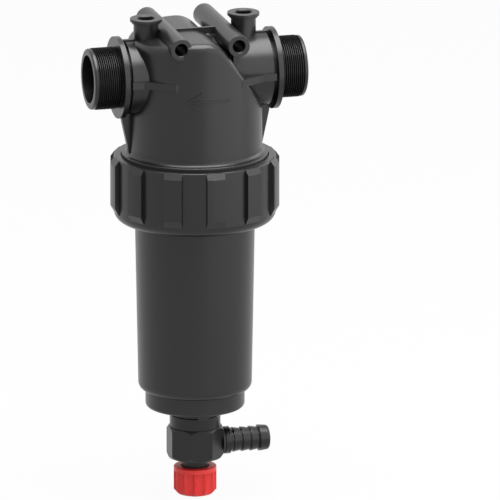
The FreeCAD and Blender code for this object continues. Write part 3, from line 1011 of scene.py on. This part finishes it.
@dataclass
class DrainValve:
    """The drain plunger with its seals and cap, and the knob that drives it."""

    finishes: Finishes

    def build(self) -> None:
        """Dresses every piece of the drain valve and models the knob's grip."""
        self.finishes.dress_node("valve_plunger", "pale_plastic")
        for name in ("plunger_washer", "stem_seal_upper", "stem_seal_lower"):
            self.finishes.dress_node(name, "rubber")
        for name in ("stem_cap", "drain_knob"):
            self.finishes.dress_node(name, "red_plastic")
        grip = KnobGrip().build()
        self.finishes.dress_piece(grip, "red_plastic", "drain_knob")
        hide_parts("drain_knob")


@dataclass(frozen=True)
class Softbox:
    """A square lamp that points at the middle of the filter."""

    name: str
    place: tuple[float, float, float]
    size: float
    power: float

    def hang(self, aim: Vector) -> None:
        """Adds the lamp.

        Args:
            aim: The point that it lights.
        """
        bpy.ops.object.light_add(type="AREA", location=self.place)
        lamp = bpy.context.object
        lamp.name = self.name
        lamp.rotation_euler = (aim - Vector(self.place)).to_track_quat("-Z", "Y").to_euler()
        lamp.data.size = self.size
        lamp.data.energy = self.power


@dataclass
class Studio:
    """The pale floor, the lamps, the surroundings and the camera."""

    floor_size: float = 9.0
    floor_colour: Colour = (0.44, 0.44, 0.44)
    floor_glow: float = 0.95
    floor_gap: float = 0.2 * MM
    surroundings: float = 0.53
    softboxes: tuple[Softbox, ...] = (
        Softbox("right_softbox", (1.5, 0.35, 0.7), size=1.2, power=8.5),
        Softbox("left_softbox", (-1.5, 0.3, 0.7), size=1.2, power=0.3),
        Softbox("front_right_softbox", (0.55, -0.66, 0.35), size=1.3, power=5.6),
        Softbox("top_softbox", (0.1, -0.22, 1.9), size=1.6, power=64),
    )
    lamp_aim_height: float = 0.2
    azimuth: float = math.radians(-15)
    elevation: float = math.radians(15)
    lens: float = 1200.0
    sensor: float = 36.0
    view_width: float = 0.3836
    aim_height: float = 0.3364
    aim_right: float = 0.04239
    aim_up: float = -0.13641

    def build(self) -> None:
        """Makes the whole studio."""
        self._floor()
        self._surroundings()
        for softbox in self.softboxes:
            softbox.hang(Vector((0, 0, self.lamp_aim_height)))
        self._camera()
        bpy.context.scene.view_settings.view_transform = "Standard"

    def _shown_background(self, graph: Graph) -> Value:
        """1 where the background is seen, also in or through a piece, and 0 for all other light."""
        path = graph.node("ShaderNodeLightPath")
        names = ("Is Camera Ray", "Is Glossy Ray", "Is Transmission Ray")
        seen, mirrored, clear = (Value(graph, path.outputs[name]) for name in names)
        return seen.larger(mirrored).larger(clear)

    def _floor(self) -> None:
        """Lays the floor under the filter."""
        bpy.ops.object.select_all(action="DESELECT")
        bpy.ops.mesh.primitive_plane_add(size=self.floor_size, location=(0, 0, -self.floor_gap))
        floor = named("studio_floor")
        material = bpy.data.materials.new("pale_floor")
        material.use_nodes = True
        graph = Graph(material.node_tree)
        paint = graph.node("ShaderNodeBsdfDiffuse", {}, {"Color": (*self.floor_colour, 1)})
        glow = graph.node("ShaderNodeEmission", {}, {"Color": (1, 1, 1, 1), "Strength": 1.0})
        share = self._shown_background(graph) * self.floor_glow
        mix = graph.node("ShaderNodeMixShader", {},
                         {0: share, 1: paint.outputs["BSDF"], 2: glow.outputs["Emission"]})
        graph.node("ShaderNodeOutputMaterial", {}, {"Surface": mix.outputs["Shader"]})
        floor.data.materials.append(material)

    def _surroundings(self) -> None:
        """Surrounds the filter with white, dimmer for the light that falls on it."""
        world = bpy.data.worlds.new("white_room")
        world.use_nodes = True
        graph = Graph(world.node_tree)
        strength = self._shown_background(graph) * (1 - self.surroundings) + self.surroundings
        room = graph.node("ShaderNodeBackground", {}, {"Color": (1, 1, 1, 1), "Strength": strength})
        graph.node("ShaderNodeOutputWorld", {}, {"Surface": room.outputs["Background"]})
        bpy.context.scene.world = world

    def _camera(self) -> None:
        """Sets the camera at the photograph's angle and distance."""
        back = Vector((math.sin(self.azimuth) * math.cos(self.elevation),
                       -math.cos(self.azimuth) * math.cos(self.elevation), math.sin(self.elevation)))
        right = Vector((math.cos(self.azimuth), math.sin(self.azimuth), 0))
        up = back.cross(right)
        aim = Vector((0, 0, self.aim_height)) + right * self.aim_right + up * self.aim_up
        distance = self.view_width * self.lens / self.sensor
        bpy.ops.object.camera_add(location=aim + back * distance)
        camera = bpy.context.object
        camera.name = "photo_camera"
        camera.rotation_euler = Matrix((right, up, back)).transposed().to_euler()
        camera.data.lens = self.lens
        camera.data.sensor_width = self.sensor
        camera.data.clip_end = 2 * distance
        bpy.context.scene.camera = camera


def main() -> None:
    """Builds the filter's looks and the studio, in order."""
    logging.basicConfig(level=logging.INFO, format="%(name)s: %(message)s")
    finishes = Finishes()
    for kind in (Head, RingNut, Bowl, Cartridge, DrainValve):
        assembly = kind(finishes)
        assembly.build()
        log.info("%s is ready", type(assembly).__name__)
    Studio().build()


if __name__ == "__main__":
    main()
